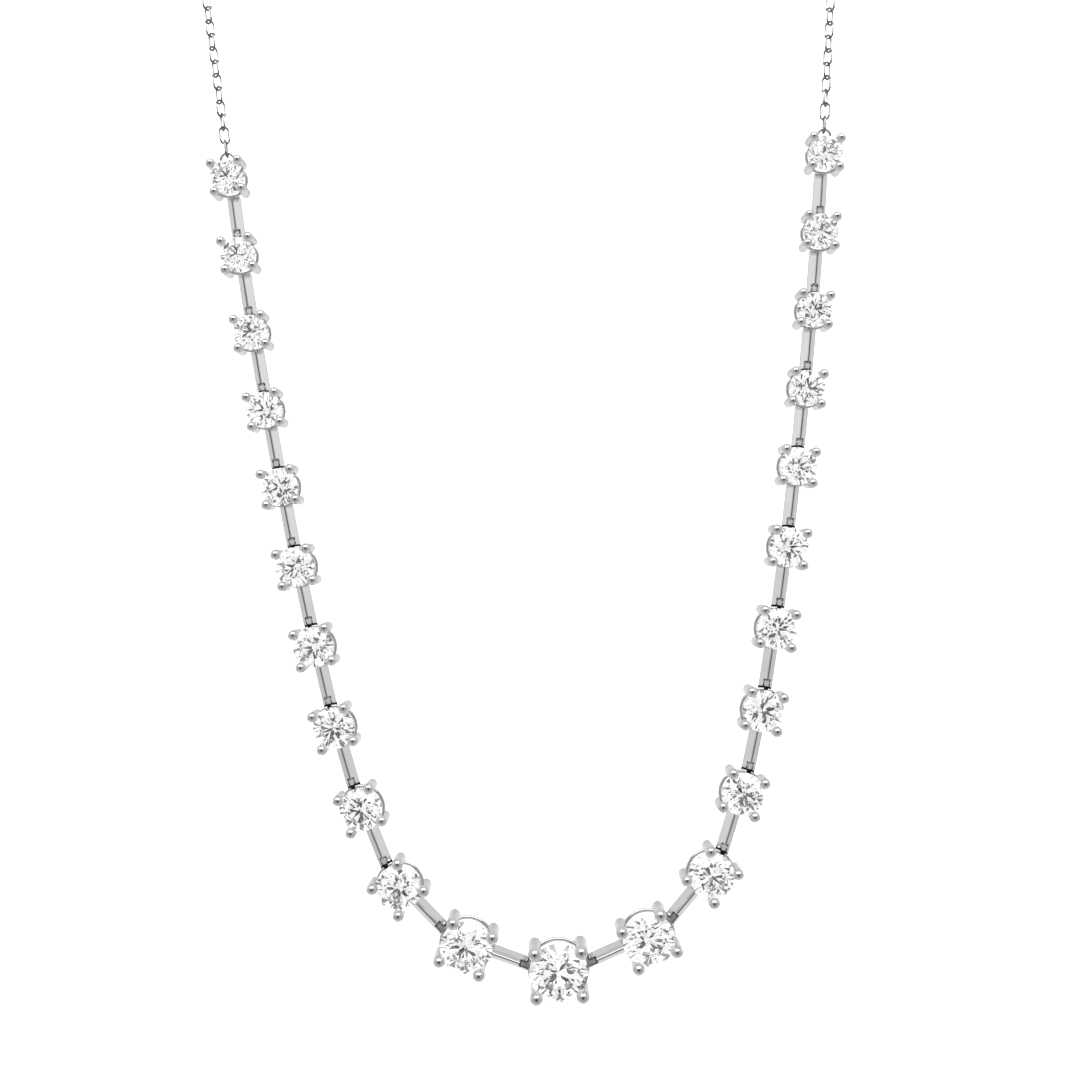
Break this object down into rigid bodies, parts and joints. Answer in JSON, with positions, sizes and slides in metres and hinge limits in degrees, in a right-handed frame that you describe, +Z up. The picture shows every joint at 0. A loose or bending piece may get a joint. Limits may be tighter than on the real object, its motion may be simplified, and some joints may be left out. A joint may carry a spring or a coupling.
{
  "type": "diamond necklace",
  "caption": "Graduated diamond necklace: claw-set round brilliants joined by hinged knife-edge bars on a fine cable chain, hanging in a U, worn round the neck.",
  "frame": {"origin": "inside top of the loop, where a round display arm or hook carries the hanging necklace just under its clasp and clasp ring", "axes": "+Z up, along which it hangs with the centre stone straight below the origin; the stones face -Y; +X to the right as the stones are seen. The pins of the bars and the chain lie in the plane y = 0"},
  "size_m": [0.0654, 0.0043, 0.1756],
  "materials": {
    "diamond": "colourless brilliant-cut diamond, flat polished facets",
    "white_gold": "polished white gold with a bright silvery plating"
  },
  "bodies": {
    "root": {"stone_centre": "diamond", "stone_left_01": "diamond", "stone_left_02": "diamond", "stone_left_03": "diamond", "stone_left_04": "diamond", "stone_left_05": "diamond", "stone_left_06": "diamond", "stone_left_07": "diamond", "stone_left_08": "diamond", "stone_left_09": "diamond", "stone_left_10": "diamond", "stone_left_11": "diamond", "stone_right_01": "diamond", "stone_right_02": "diamond", "stone_right_03": "diamond", "stone_right_04": "diamond", "stone_right_05": "diamond", "stone_right_06": "diamond", "stone_right_07": "diamond", "stone_right_08": "diamond", "stone_right_09": "diamond", "stone_right_10": "diamond", "stone_right_11": "diamond", "setting_centre": "white_gold", "setting_left_01": "white_gold", "setting_left_02": "white_gold", "setting_left_03": "white_gold", "setting_left_04": "white_gold", "setting_left_05": "white_gold", "setting_left_06": "white_gold", "setting_left_07": "white_gold", "setting_left_08": "white_gold", "setting_left_09": "white_gold", "setting_left_10": "white_gold", "setting_left_11": "white_gold", "setting_right_01": "white_gold", "setting_right_02": "white_gold", "setting_right_03": "white_gold", "setting_right_04": "white_gold", "setting_right_05": "white_gold", "setting_right_06": "white_gold", "setting_right_07": "white_gold", "setting_right_08": "white_gold", "setting_right_09": "white_gold", "setting_right_10": "white_gold", "setting_right_11": "white_gold", "chain_left": "white_gold", "chain_right": "white_gold", "clasp": "white_gold", "clasp_ring": "white_gold"}
  },
  "joints": []
}
